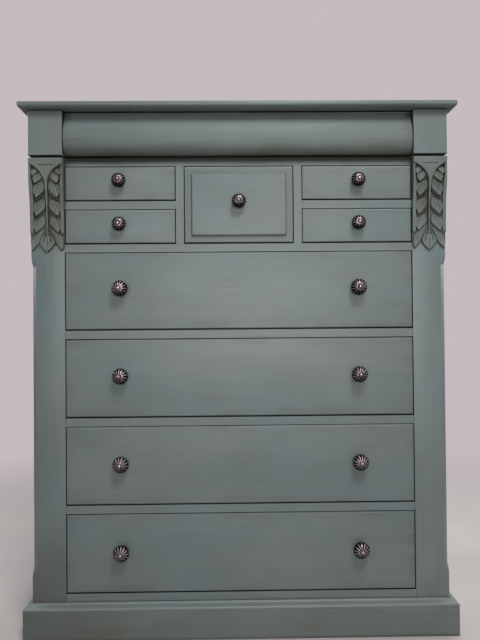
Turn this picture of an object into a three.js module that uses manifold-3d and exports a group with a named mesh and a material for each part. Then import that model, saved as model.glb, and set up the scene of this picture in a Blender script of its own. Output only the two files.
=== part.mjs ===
// Tall painted chest of drawers with a hidden frieze drawer, carved corbels and a moulded plinth.
// Units are millimetres. +Z is up, the front faces -Y, X runs from left to right as one faces the front.
// The origin is on the floor, under the middle of the footprint.
import * as THREE from 'three';
import { mergeVertices } from 'three/addons/utils/BufferGeometryUtils.js';
import Module from 'manifold-3d';

const wasm = await Module();
wasm.setup();

// ---------------------------------------------------------------- driving dimensions
const TOP_HALF_W = 538.5;      // half width of the top board
const BODY_HALF_W = 518.5;     // half width of the carcass, outside faces of the sides
const PLINTH_HALF_W = 536.3;   // half width of the plinth
const Y_TOP_FRONT = -250;      // front edge of the top board
const Y_PLINTH_FRONT = -228;   // front face of the plinth
const Y_BLOCK_FRONT = -230;    // front face of the corner blocks
const Y_FACE = -210;           // common front plane of posts, rails and drawer fronts
const Y_BACK = 250;            // back edge of sides and top
const Y_POST_BACK = -150;      // posts and front rails are 60 deep
const Y_BACKBOARD = 234;       // inner face of the back panel
const BACKBOARD_T = 12;
const SIDE_T = 20;             // side panel thickness

const Z_TOP = 1317;            // top of the top board
const Z_CARCASS = 1303;        // underside of the top board
const POST_IN = 434.9;         // inner face of the posts
const MULLION_IN = 137.6;      // inner face of the two uprights of the small-drawer row
const MULLION_OUT = 157.6;     // outer face of the same
const DUST_T = 10;             // dust board thickness behind the front rails
const GAP = 0.3;               // glue-line gap between fixed pieces

// rails, bottom and top of each
const RAILS = {
  bottom_rail: [87, 106.8],
  long_rail_3: [303.7, 323.9],
  long_rail_2: [520, 540.4],
  long_rail_1: [737.6, 758.3],
  middle_rail: [953.6, 973.4],
  frieze_rail: [1168.9, 1190],
};
const SMALL_RAIL = [1061, 1081.2];   // rail between the stacked small drawers

// posts
const CHAMFER = 12;            // stopped chamfer on the outer front corner
const CHAMFER_Z = [150, 941];  // where the chamfer's stops begin and end
const STOP_LEN = 26;           // length of each lamb's-tongue stop

// blocks and corbels
const BLOCK_Z0 = 1192;
const CORBEL_Z = [951, 1185.5];

// plinth
const PLINTH_MOULD_Z = [73, 86.7];

// drawers
const FRONT_T = 22;            // drawer front thickness
const FRONT_SIDE_GAP = 1.7;    // play at each side of a front
const FRONT_TOP_GAP = 1.4;     // play over a front
const FRONT_BOT_GAP = 2.4;     // play under a front
const TRAY_BACK = 205;         // rear face of the drawer boxes
const WALL_T = 12;             // drawer box sides and back
const BOTTOM_T = 7;            // drawer bottom board
const BOTTOM_UP = 7;           // underside of the bottom board above the side's lower edge

// knobs
const KNOB_X = 296;            // knob centres of the long drawers
const KNOB_X_SMALL = 298;      // knob centres of the small drawers
const KNOB_UP = 5.5;           // knob centres sit above the middle of each front
const KNOB_R_LARGE = 20.4;     // long drawers
const KNOB_R_SMALL = 17.4;     // small drawers and the centre drawer
const SHANK_R = 2.2;
const SHANK_HOLE_R = 2.6;

// ---------------------------------------------------------------- materials
const paint = (c) => new THREE.MeshStandardMaterial({ color: c, roughness: 0.5, metalness: 0 });
const MAT = {
  paint: paint(0x73807a),
  carving: paint(0x6c7268),
  wood: new THREE.MeshStandardMaterial({ color: 0xa98358, roughness: 0.7, metalness: 0 }),
  backwood: new THREE.MeshStandardMaterial({ color: 0x8d6c49, roughness: 0.8, metalness: 0 }),
  metal: new THREE.MeshStandardMaterial({ color: 0x4c4145, roughness: 0.35, metalness: 0.9 }),
};

// ---------------------------------------------------------------- geometry helpers
function signedVolume(g) {
  const p = g.getAttribute('position'), ix = g.getIndex();
  let v = 0;
  const n = ix ? ix.count : p.count;
  const at = (i) => (ix ? ix.getX(i) : i);
  for (let i = 0; i < n; i += 3) {
    const a = at(i), b = at(i + 1), c = at(i + 2);
    const ax = p.getX(a), ay = p.getY(a), az = p.getZ(a);
    const bx = p.getX(b), by = p.getY(b), bz = p.getZ(b);
    const cx = p.getX(c), cy = p.getY(c), cz = p.getZ(c);
    v += ax * (by * cz - bz * cy) - ay * (bx * cz - bz * cx) + az * (bx * cy - by * cx);
  }
  return v / 6;
}

function outward(g) {
  if (signedVolume(g) < 0) {
    const ix = g.getIndex().array;
    for (let i = 0; i < ix.length; i += 3) { const t = ix[i + 1]; ix[i + 1] = ix[i + 2]; ix[i + 2] = t; }
  }
  return g;
}

function indexed(points, tris) {
  const g = new THREE.BufferGeometry();
  g.setAttribute('position', new THREE.Float32BufferAttribute(points.flat(), 3));
  g.setIndex(tris.flat());
  return outward(g);
}

function box(x0, x1, y0, y1, z0, z1) {
  const g = new THREE.BoxGeometry(x1 - x0, y1 - y0, z1 - z0);
  g.translate((x0 + x1) / 2, (y0 + y1) / 2, (z0 + z1) / 2);
  return g;
}

function solid(g) {
  const s = g.clone();
  for (const name of Object.keys(s.attributes)) if (name !== 'position') s.deleteAttribute(name);
  const m = mergeVertices(s, 1e-4);
  return new wasm.Manifold(new wasm.Mesh({
    numProp: 3,
    vertProperties: new Float32Array(m.getAttribute('position').array),
    triVerts: new Uint32Array(m.getIndex().array),
  }));
}

function geometry(m) {
  const mesh = m.getMesh();
  const g = new THREE.BufferGeometry();
  g.setAttribute('position', new THREE.BufferAttribute(new Float32Array(mesh.vertProperties), 3));
  g.setIndex(new THREE.BufferAttribute(new Uint32Array(mesh.triVerts), 1));
  return g;
}

const join = (...gs) => geometry(gs.map(solid).reduce((a, b) => a.add(b)));
const cut = (g, ...tools) => geometry(tools.map(solid).reduce((a, b) => a.subtract(b), solid(g)));
const common = (a, b) => geometry(solid(a).intersect(solid(b)));

// closed polygon given as [y, z] points, extruded along X
function alongX(points, x0, x1) {
  const shape = new THREE.Shape(points.map(([a, b]) => new THREE.Vector2(a, b)));
  const g = new THREE.ExtrudeGeometry(shape, { depth: x1 - x0, bevelEnabled: false });
  g.applyMatrix4(new THREE.Matrix4().set(0, 0, 1, x0, 1, 0, 0, 0, 0, 1, 0, 0, 0, 0, 0, 1));
  return g;
}

// closed polygon given as [x, z] points, extruded along Y
function alongY(points, y0, y1) {
  const shape = new THREE.Shape(points.map(([a, b]) => new THREE.Vector2(a, b)));
  const g = new THREE.ExtrudeGeometry(shape, { depth: y1 - y0, bevelEnabled: false });
  g.applyMatrix4(new THREE.Matrix4().set(1, 0, 0, 0, 0, 0, -1, y1, 0, 1, 0, 0, 0, 0, 0, 1));
  return g;
}

// skin over a stack of equal-length rings, closed by flat ends; tri2d gives the ends' triangles
function loft(rings, capPoints) {
  const n = rings[0].length;
  const points = rings.flat();
  const tris = [];
  for (let r = 0; r + 1 < rings.length; r++) {
    for (let i = 0; i < n; i++) {
      const j = (i + 1) % n, a = r * n + i, b = r * n + j, c = (r + 1) * n + j, d = (r + 1) * n + i;
      tris.push([a, b, c], [a, c, d]);
    }
  }
  const last = (rings.length - 1) * n;
  const contour = capPoints.map(([a, b]) => new THREE.Vector2(a, b));
  const flipped = THREE.ShapeUtils.isClockWise(contour);
  const cap = THREE.ShapeUtils.triangulateShape(flipped ? contour.slice().reverse() : contour, []);
  const idx = (k) => (flipped ? n - 1 - k : k);
  for (const [a, b, c] of cap) {
    let t = [idx(a), idx(b), idx(c)];
    if (flipped) t = [t[0], t[2], t[1]];
    tris.push([t[0], t[2], t[1]], [last + t[0], last + t[1], last + t[2]]);
  }
  return indexed(points, tris);
}

// board whose face towards -Y steps through [inset, y] rings, mitred at its corners
function facedBoard(x0, x1, z0, z1, steps) {
  const rings = steps.map(([s, y]) => [[x0 + s, y, z0 + s], [x1 - s, y, z0 + s], [x1 - s, y, z1 - s], [x0 + s, y, z1 - s]]);
  return loft(rings, [[0, 0], [1, 0], [1, 1], [0, 1]]);
}

// moulding swept round the front and both sides, mitred at the two front corners;
// profile points are [outward distance, z]
function threeSided(profile, halfW, yFront, yBack) {
  const rings = [
    profile.map(([u, z]) => [-halfW - u, yBack, z]),
    profile.map(([u, z]) => [-halfW - u, yFront - u, z]),
    profile.map(([u, z]) => [halfW + u, yFront - u, z]),
    profile.map(([u, z]) => [halfW + u, yBack, z]),
  ];
  return loft(rings, profile);
}

const group = new THREE.Group();
function add(name, g, material) {
  const mesh = new THREE.Mesh(g, material);
  mesh.name = name;
  group.add(mesh);
  return mesh;
}

// ---------------------------------------------------------------- top board with a moulded edge
{
  // [inset from the full outline, z]; the back edge stays flush
  const steps = [[15, Z_CARCASS], [10, 1303.6], [6, 1304.8], [2.8, 1306.2], [0.6, 1307.4], [0, 1308.4], [0, 1313.6], [0.8, 1315.3], [2.2, 1316.5], [4.2, Z_TOP]];
  const rings = steps.map(([s, z]) => [
    [-TOP_HALF_W + s, Y_TOP_FRONT + s, z], [TOP_HALF_W - s, Y_TOP_FRONT + s, z],
    [TOP_HALF_W - s, Y_BACK, z], [-TOP_HALF_W + s, Y_BACK, z]]);
  add('top_board', loft(rings, [[0, 0], [1, 0], [1, 1], [0, 1]]), MAT.paint);
}

// ---------------------------------------------------------------- posts with stopped chamfers
{
  const smooth = (t) => t * t * (3 - 2 * t);
  const levels = [0];
  const c0 = 0.6;
  const stops = [];
  for (let i = 0; i <= 6; i++) stops.push([CHAMFER_Z[0] + (STOP_LEN * i) / 6, c0 + (CHAMFER - c0) * smooth(i / 6)]);
  for (let i = 0; i <= 6; i++) stops.push([CHAMFER_Z[1] - STOP_LEN * (1 - i / 6), c0 + (CHAMFER - c0) * smooth(1 - i / 6)]);
  const rows = [[0, c0], ...stops, [Z_CARCASS - GAP, c0]];
  for (const side of [-1, 1]) {
    const xo = side * BODY_HALF_W, xi = side * POST_IN;
    const rings = rows.map(([z, c]) => [
      [xo, Y_POST_BACK, z], [xo, Y_FACE + c, z], [xo - side * c, Y_FACE, z], [xi, Y_FACE, z], [xi, Y_POST_BACK, z]]);
    add(side < 0 ? 'post_left' : 'post_right',
      loft(rings, [[-1, 1], [-1, -0.8], [-0.8, -1], [1, -1], [1, 1]]), MAT.paint);
  }
}

// ---------------------------------------------------------------- sides and back
for (const side of [-1, 1]) {
  const a = side * (BODY_HALF_W - SIDE_T), b = side * BODY_HALF_W;
  add(side < 0 ? 'side_panel_left' : 'side_panel_right',
    box(Math.min(a, b), Math.max(a, b), Y_POST_BACK + GAP, Y_BACK, 0, Z_CARCASS - GAP), MAT.paint);
}
add('back_panel', box(-(BODY_HALF_W - SIDE_T - GAP), BODY_HALF_W - SIDE_T - GAP,
  Y_BACKBOARD, Y_BACKBOARD + BACKBOARD_T, RAILS.bottom_rail[0], Z_CARCASS - GAP), MAT.backwood);

// ---------------------------------------------------------------- corner blocks and corbels
for (const side of [-1, 1]) {
  const word = side < 0 ? 'left' : 'right';
  const lo = side < 0 ? -BODY_HALF_W : POST_IN, hi = side < 0 ? -POST_IN : BODY_HALF_W;
  add('corner_block_' + word,
    facedBoard(lo, hi, BLOCK_Z0, Z_CARCASS - GAP, [[0, Y_FACE - GAP], [0, Y_BLOCK_FRONT + 1], [1, Y_BLOCK_FRONT]]), MAT.paint);

  // side view of the corbel: proud at the top, swept back in a long curve to a thin foot
  const proud = [[19, CORBEL_Z[1]], [19, 1131], [18, 1120], [15.2, 1108], [12, 1096], [9.8, 1080], [8, 1061], [6.5, 1043],
    [5.5, 1027], [4.4, 1005], [3.8, 980], [3.4, CORBEL_Z[0]]];
  const sideView = alongX([[Y_FACE - GAP, CORBEL_Z[0]], [Y_FACE - GAP, CORBEL_Z[1]],
    ...proud.map(([p, z]) => [Y_FACE - p, z])], lo, hi);
  // front view: straight sides and three leaf tips along the foot
  const foot = [[0, 1], [0, 0.055], [0.018, 0.028], [0.10, 0.06], [0.245, 0.1], [0.36, 0.045], [0.5, 0], [0.64, 0.045], [0.755, 0.1], [0.90, 0.06], [0.982, 0.028], [1, 0.055], [1, 1]];
  const H = CORBEL_Z[1] - CORBEL_Z[0];
  const outline = foot.map(([u, v]) => [lo + u * (hi - lo), CORBEL_Z[0] + v * H]);
  outline[0][1] += 5; outline[outline.length - 1][1] += 5;
  add('corbel_' + word, common(sideView, alongY(outline, Y_FACE - 40, Y_FACE + 10)), MAT.carving);
}

// ---------------------------------------------------------------- rails with their dust boards
for (const [name, [z0, z1]] of Object.entries(RAILS)) {
  const xr = POST_IN - GAP, xd = BODY_HALF_W - SIDE_T - GAP;
  const rail = box(-xr, xr, Y_FACE, Y_POST_BACK + 10, z0, z1);
  const dust = box(-xd, xd, Y_POST_BACK + GAP, Y_BACKBOARD - GAP, z1 - DUST_T, z1);
  add(name, join(rail, dust), MAT.paint);
}

// ---------------------------------------------------------------- uprights and short rails of the small-drawer row
for (const side of [-1, 1]) {
  const word = side < 0 ? 'left' : 'right';
  const z0 = RAILS.middle_rail[1] + GAP, z1 = RAILS.frieze_rail[0] - GAP;
  const x0 = side < 0 ? -MULLION_OUT : MULLION_IN, x1 = side < 0 ? -MULLION_IN : MULLION_OUT;
  add('upright_' + word, box(x0, x1, Y_FACE, Y_BACKBOARD - GAP, z0, z1), MAT.paint);
  const a = MULLION_OUT + GAP, xr = POST_IN - GAP, xd = BODY_HALF_W - SIDE_T - GAP;
  const sx = (u, v) => (side < 0 ? [-v, -u] : [u, v]);
  const [r0, r1] = sx(a, xr), [d0, d1] = sx(a, xd);
  add('small_rail_' + word, join(box(r0, r1, Y_FACE, Y_POST_BACK + 10, SMALL_RAIL[0], SMALL_RAIL[1]),
    box(d0, d1, Y_POST_BACK + GAP, Y_BACKBOARD - GAP, SMALL_RAIL[1] - DUST_T, SMALL_RAIL[1])), MAT.paint);
}

// ---------------------------------------------------------------- plinth and its moulding
add('plinth_front', facedBoard(-PLINTH_HALF_W, PLINTH_HALF_W, 0, PLINTH_MOULD_Z[0] - GAP,
  [[0, Y_FACE - GAP], [0, Y_PLINTH_FRONT + 0.8], [0.8, Y_PLINTH_FRONT]]), MAT.paint);
for (const side of [-1, 1]) {
  const a = side * (BODY_HALF_W + GAP), b = side * PLINTH_HALF_W;
  add(side < 0 ? 'plinth_left' : 'plinth_right',
    box(Math.min(a, b), Math.max(a, b), Y_FACE, Y_BACK, 0, PLINTH_MOULD_Z[0] - GAP), MAT.paint);
}
{
  const [z0, z1] = PLINTH_MOULD_Z;
  const out = PLINTH_HALF_W - BODY_HALF_W;
  const profile = [[GAP, z0], [out, z0], [out, z0 + 2.2], [out - 0.7, z0 + 4.2], [out - 2.6, z0 + 6], [out - 5.4, z0 + 7.2], [out - 8.6, z0 + 8.2],
    [out - 11.6, z0 + 9.4], [out - 14, z0 + 11], [out - 15.2, z0 + 12.6], [out - 15.6, z1], [GAP, z1]];
  add('plinth_moulding', threeSided(profile, BODY_HALF_W, Y_FACE, Y_BACK), MAT.paint);
}
add('plinth_back', box(-(BODY_HALF_W - SIDE_T - GAP), BODY_HALF_W - SIDE_T - GAP, 214, Y_BACKBOARD + BACKBOARD_T,
  0, RAILS.bottom_rail[0] - GAP), MAT.backwood);

// ---------------------------------------------------------------- knob: domed head, neck, back flange, shank and inner washer head
function knob(r, through) {
  const k = r / 20.4;
  // [radius, distance in front of the drawer front]
  const p = [
    [0, 33.5 * k], [3.6 * k, 33.2 * k], [5.6 * k, 31.4 * k], [6.6 * k, 30.8 * k], [12 * k, 29.4 * k], [17.4 * k, 26 * k], [20.4 * k, 20.6 * k],
    [18.6 * k, 16.4 * k], [11 * k, 13 * k], [7 * k, 9.5 * k], [7.2 * k, 5.2 * k], [12.4 * k, 2.8 * k], [13 * k, GAP],
    [SHANK_R, GAP], [SHANK_R, -through - 0.4], [4.6, -through - 0.4], [4.2, -through - 2.6], [0, -through - 3.1],
  ];
  return p;
}
function knobMesh(name, r, x, z, yFront, through) {
  const pts = knob(r, through).map(([a, b]) => new THREE.Vector2(a, b));
  const g = new THREE.LatheGeometry(pts, 14);
  g.rotateX(Math.PI);          // lathe axis (local +Y) turned to point out of the drawer front
  const s = g.clone();
  for (const n of Object.keys(s.attributes)) if (n !== 'position') s.deleteAttribute(n);
  const m = mergeVertices(s, 1e-3);
  const ix = m.getIndex().array, keep = [];
  for (let i = 0; i < ix.length; i += 3) {
    if (ix[i] !== ix[i + 1] && ix[i + 1] !== ix[i + 2] && ix[i] !== ix[i + 2]) keep.push(ix[i], ix[i + 1], ix[i + 2]);
  }
  m.setIndex(keep);
  const mesh = add(name, outward(m), MAT.metal);
  mesh.position.set(x, yFront, z);
  return mesh;
}
function shankHole(x, z) {
  const g = new THREE.CylinderGeometry(SHANK_HOLE_R, SHANK_HOLE_R, 200, 12);
  g.translate(x, Y_FACE, z);
  return g;
}

// ---------------------------------------------------------------- drawers
function tray(x0, x1, z0, z1, yFrontInner) {
  // box open at the top and at the front, with its bottom board let in above the lower edges
  const outer = box(x0, x1, yFrontInner, TRAY_BACK, z0, z1);
  const inside = box(x0 + WALL_T, x1 - WALL_T, yFrontInner - 10, TRAY_BACK - WALL_T, z0 + BOTTOM_UP + BOTTOM_T, z1 + 10);
  const under = box(x0 + WALL_T, x1 - WALL_T, yFrontInner - 10, TRAY_BACK + 10, z0 - 10, z0 + BOTTOM_UP);
  return cut(outer, inside, under);
}

const DRAWERS = [
  // name, opening x0, x1, z0, z1, knob xs, knob radius
  ['small_upper_left', -POST_IN, -MULLION_OUT, SMALL_RAIL[1], RAILS.frieze_rail[0], [-KNOB_X_SMALL], KNOB_R_SMALL],
  ['small_lower_left', -POST_IN, -MULLION_OUT, RAILS.middle_rail[1], SMALL_RAIL[0], [-KNOB_X_SMALL], KNOB_R_SMALL],
  ['centre', -MULLION_IN, MULLION_IN, RAILS.middle_rail[1], RAILS.frieze_rail[0], [0], KNOB_R_SMALL],
  ['small_upper_right', MULLION_OUT, POST_IN, SMALL_RAIL[1], RAILS.frieze_rail[0], [KNOB_X_SMALL], KNOB_R_SMALL],
  ['small_lower_right', MULLION_OUT, POST_IN, RAILS.middle_rail[1], SMALL_RAIL[0], [KNOB_X_SMALL], KNOB_R_SMALL],
  ['long_1', -POST_IN, POST_IN, RAILS.long_rail_1[1], RAILS.middle_rail[0], [-KNOB_X, KNOB_X], KNOB_R_LARGE],
  ['long_2', -POST_IN, POST_IN, RAILS.long_rail_2[1], RAILS.long_rail_1[0], [-KNOB_X, KNOB_X], KNOB_R_LARGE],
  ['long_3', -POST_IN, POST_IN, RAILS.long_rail_3[1], RAILS.long_rail_2[0], [-KNOB_X, KNOB_X], KNOB_R_LARGE],
  ['long_4', -POST_IN, POST_IN, RAILS.bottom_rail[1], RAILS.long_rail_3[0], [-KNOB_X, KNOB_X], KNOB_R_LARGE],
];
const FRAMED = 18;             // flat border of the centre front
const FIELD = 6;               // how far its middle field stands proud
for (const [name, ox0, ox1, oz0, oz1, xs, r] of DRAWERS) {
  const x0 = ox0 + FRONT_SIDE_GAP, x1 = ox1 - FRONT_SIDE_GAP, z0 = oz0 + FRONT_BOT_GAP, z1 = oz1 - FRONT_TOP_GAP;
  const yIn = Y_FACE + FRONT_T;
  const zk = (z0 + z1) / 2 + KNOB_UP;
  let steps = [[0, yIn], [0, Y_FACE + 2], [0.7, Y_FACE + 0.7], [2, Y_FACE]];
  let yKnob = Y_FACE;
  if (name === 'centre') {
    steps = [[0, yIn], [0, Y_FACE + 1.5], [1.5, Y_FACE], [FRAMED - 1, Y_FACE], [FRAMED, Y_FACE - 1.2], [FRAMED, Y_FACE - FIELD + 1.6], [FRAMED + 1.4, Y_FACE - FIELD]];
    yKnob = Y_FACE - FIELD;
  }
  let front = facedBoard(x0, x1, z0, z1, steps);
  front = cut(front, ...xs.map((x) => shankHole(x, zk)));
  add(name + '_front', front, MAT.paint);
  add(name + '_box', tray(x0 + 1, x1 - 1, z0, z1 - 4, yIn + GAP), MAT.wood);
  xs.forEach((x, i) => {
    const suffix = xs.length > 1 ? (x < 0 ? '_left' : '_right') : '';
    knobMesh('knob_' + name + suffix, r, x, zk, yKnob, FRONT_T + (Y_FACE - yKnob));
  });
}

// frieze drawer: full width, hidden, with a swelling front and no knobs
{
  const x0 = -POST_IN + FRONT_SIDE_GAP, x1 = POST_IN - FRONT_SIDE_GAP;
  const z0 = RAILS.frieze_rail[1] + FRONT_BOT_GAP, z1 = Z_CARCASS - FRONT_TOP_GAP;
  const yIn = Y_FACE + FRONT_T;
  const swell = [[6.4, z1], [7.0, 1294], [8.2, 1287], [10.2, 1279.5], [12.6, 1272], [15.2, 1264], [17.6, 1256], [19.2, 1248], [19.9, 1240],
    [19.6, 1232], [18.4, 1224], [16.2, 1216], [13, 1208.5], [8.8, 1201.5], [4, 1196], [0, z0 + 1], [-1.2, z0]];
  const front = alongX([[yIn, z0], [yIn, z1], ...swell.map(([p, z]) => [Y_FACE - p, z])], x0, x1);
  add('frieze_drawer_front', front, MAT.paint);
  add('frieze_drawer_box', tray(x0 + 1, x1 - 1, z0, z1 - 4, yIn + GAP), MAT.wood);
}

export default group;
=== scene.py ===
import bpy, bmesh, math
import numpy as np
from mathutils import Vector, Matrix


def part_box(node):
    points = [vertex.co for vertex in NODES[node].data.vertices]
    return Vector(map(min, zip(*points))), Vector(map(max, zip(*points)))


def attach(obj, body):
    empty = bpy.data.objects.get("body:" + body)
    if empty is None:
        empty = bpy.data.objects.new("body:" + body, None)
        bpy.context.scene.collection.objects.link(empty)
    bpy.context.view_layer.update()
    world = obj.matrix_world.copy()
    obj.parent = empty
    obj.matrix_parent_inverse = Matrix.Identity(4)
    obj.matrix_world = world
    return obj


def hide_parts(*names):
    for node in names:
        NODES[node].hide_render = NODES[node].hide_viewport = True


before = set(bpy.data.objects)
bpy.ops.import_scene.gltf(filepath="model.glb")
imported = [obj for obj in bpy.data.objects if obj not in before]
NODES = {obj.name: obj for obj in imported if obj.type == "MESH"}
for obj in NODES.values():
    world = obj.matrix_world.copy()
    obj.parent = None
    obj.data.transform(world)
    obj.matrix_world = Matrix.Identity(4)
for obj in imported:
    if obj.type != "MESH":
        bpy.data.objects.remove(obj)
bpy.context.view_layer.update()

MM = 0.001
rng = np.random.default_rng(7)

# ------------------------------------------------------------------ camera
sc = bpy.context.scene
cam_data = bpy.data.cameras.new("camera")
cam_data.sensor_width = 36.0
cam_data.lens = 29.25
cam_data.clip_start, cam_data.clip_end = 0.02, 50
cam = bpy.data.objects.new("camera", cam_data)
sc.collection.objects.link(cam)
sc.camera = cam


def rot_x(a):
    c, s = math.cos(a), math.sin(a)
    return np.array([[1, 0, 0], [0, c, -s], [0, s, c]])


def rot_y(a):
    c, s = math.cos(a), math.sin(a)
    return np.array([[c, 0, s], [0, 1, 0], [-s, 0, c]])


def rot_z(a):
    c, s = math.cos(a), math.sin(a)
    return np.array([[c, -s, 0], [s, c, 0], [0, 0, 1]])


YAW, PITCH, ROLL = (math.radians(a) for a in (-0.664, -0.599, -0.477))
turn = rot_z(ROLL) @ rot_x(PITCH) @ rot_y(YAW)
to_view = np.array([[1, 0, 0], [0, 0, -1], [0, 1, 0]])
look = np.diag([1, -1, -1]) @ turn @ to_view
m4 = Matrix([list(row) + [0] for row in look.T.tolist()] + [[0, 0, 0, 1]])
m4.translation = Vector((-0.0145, -1.510, 0.7685))
cam.matrix_world = m4


# ------------------------------------------------------------------ node graph helper
class Graph:
    def __init__(self, name):
        self.m = bpy.data.materials.new(name)
        self.m.use_nodes = True
        self.t = self.m.node_tree
        self.t.nodes.clear()
        self.out = self.t.nodes.new("ShaderNodeOutputMaterial")
        self.bsdf = self.t.nodes.new("ShaderNodeBsdfPrincipled")
        self.t.links.new(self.bsdf.outputs[0], self.out.inputs[0])
        self.coord = self.t.nodes.new("ShaderNodeTexCoord").outputs["Object"]
        self._xyz = None

    def put(self, node, socket, value):
        s = node.inputs[socket]
        if isinstance(value, bpy.types.NodeSocket):
            self.t.links.new(value, s)
        else:
            s.default_value = value

    def mapping(self, scale=(1, 1, 1), loc=(0, 0, 0), rot=(0, 0, 0), vec=None):
        n = self.t.nodes.new("ShaderNodeMapping")
        self.t.links.new(vec if vec is not None else self.coord, n.inputs["Vector"])
        n.inputs["Scale"].default_value = scale
        n.inputs["Location"].default_value = loc
        n.inputs["Rotation"].default_value = rot
        return n.outputs[0]

    def noise(self, vec, scale=1.0, detail=3.0, rough=0.5, distort=0.0):
        n = self.t.nodes.new("ShaderNodeTexNoise")
        self.t.links.new(vec, n.inputs["Vector"])
        n.inputs["Scale"].default_value = scale
        n.inputs["Detail"].default_value = detail
        n.inputs["Roughness"].default_value = rough
        n.inputs["Distortion"].default_value = distort
        return n.outputs["Fac"]

    def math(self, op, a, b=None, c=None, clamp=False):
        n = self.t.nodes.new("ShaderNodeMath")
        n.operation = op
        n.use_clamp = clamp
        self.put(n, 0, a)
        if b is not None:
            self.put(n, 1, b)
        if c is not None:
            self.put(n, 2, c)
        return n.outputs[0]

    def remap(self, v, a, b, c=0.0, d=1.0, smooth=True):
        n = self.t.nodes.new("ShaderNodeMapRange")
        n.interpolation_type = "SMOOTHSTEP" if smooth else "LINEAR"
        self.put(n, "Value", v)
        n.inputs["From Min"].default_value = a
        n.inputs["From Max"].default_value = b
        n.inputs["To Min"].default_value = c
        n.inputs["To Max"].default_value = d
        return n.outputs[0]

    def mix(self, fac, a, b, blend="MIX"):
        n = self.t.nodes.new("ShaderNodeMix")
        n.data_type = "RGBA"
        n.blend_type = blend
        n.clamp_factor = True
        for s, v in ((0, fac), (6, a), (7, b)):
            if isinstance(v, bpy.types.NodeSocket):
                self.t.links.new(v, n.inputs[s])
            elif s == 0:
                n.inputs[s].default_value = v
            else:
                n.inputs[s].default_value = (*v, 1.0) if len(v) == 3 else v
        return n.outputs[2]

    def ramp(self, fac, stops):
        n = self.t.nodes.new("ShaderNodeValToRGB")
        self.t.links.new(fac, n.inputs[0])
        e = n.color_ramp.elements
        while len(e) < len(stops):
            e.new(0.5)
        for k, (p, c) in enumerate(stops):
            e[k].position = p
            e[k].color = (*c, 1.0)
        return n.outputs[0]

    def xyz(self):
        if self._xyz is None:
            n = self.t.nodes.new("ShaderNodeSeparateXYZ")
            self.t.links.new(self.coord, n.inputs[0])
            self._xyz = n.outputs
        return self._xyz

    def ao(self, dist, samples=6):
        n = self.t.nodes.new("ShaderNodeAmbientOcclusion")
        n.samples = samples
        n.inputs["Distance"].default_value = dist
        return n.outputs["AO"]

    def attr(self, name):
        n = self.t.nodes.new("ShaderNodeAttribute")
        n.attribute_name = name
        return n.outputs["Fac"]

    def bump(self, height, strength, dist, normal=None):
        n = self.t.nodes.new("ShaderNodeBump")
        n.inputs["Strength"].default_value = strength
        n.inputs["Distance"].default_value = dist
        self.t.links.new(height, n.inputs["Height"])
        if normal is not None:
            self.t.links.new(normal, n.inputs["Normal"])
        return n.outputs[0]

    def set(self, **kw):
        for k, v in kw.items():
            self.put(self.bsdf, k.replace("_", " "), v)


AXIS = {"X": 0, "Y": 1, "Z": 2}


def along(axis, small, big):
    s = [big, big, big]
    s[AXIS[axis]] = small
    return tuple(s)


# ------------------------------------------------------------------ colours (linear)
SAGE_A = (0.174, 0.219, 0.218)
SAGE_COOL = (0.158, 0.210, 0.220)
SAGE_WARM = (0.192, 0.222, 0.203)
UMBER = (0.052, 0.043, 0.028)
# near black, for painted shade in the gaps and along the lower arrises
SHADE_BLACK = (0.010, 0.009, 0.008)
WASH = (0.138, 0.132, 0.100)
PINE_L = (0.480, 0.310, 0.165)
PINE_M = (0.395, 0.235, 0.115)
PINE_D = (0.235, 0.125, 0.055)


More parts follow.
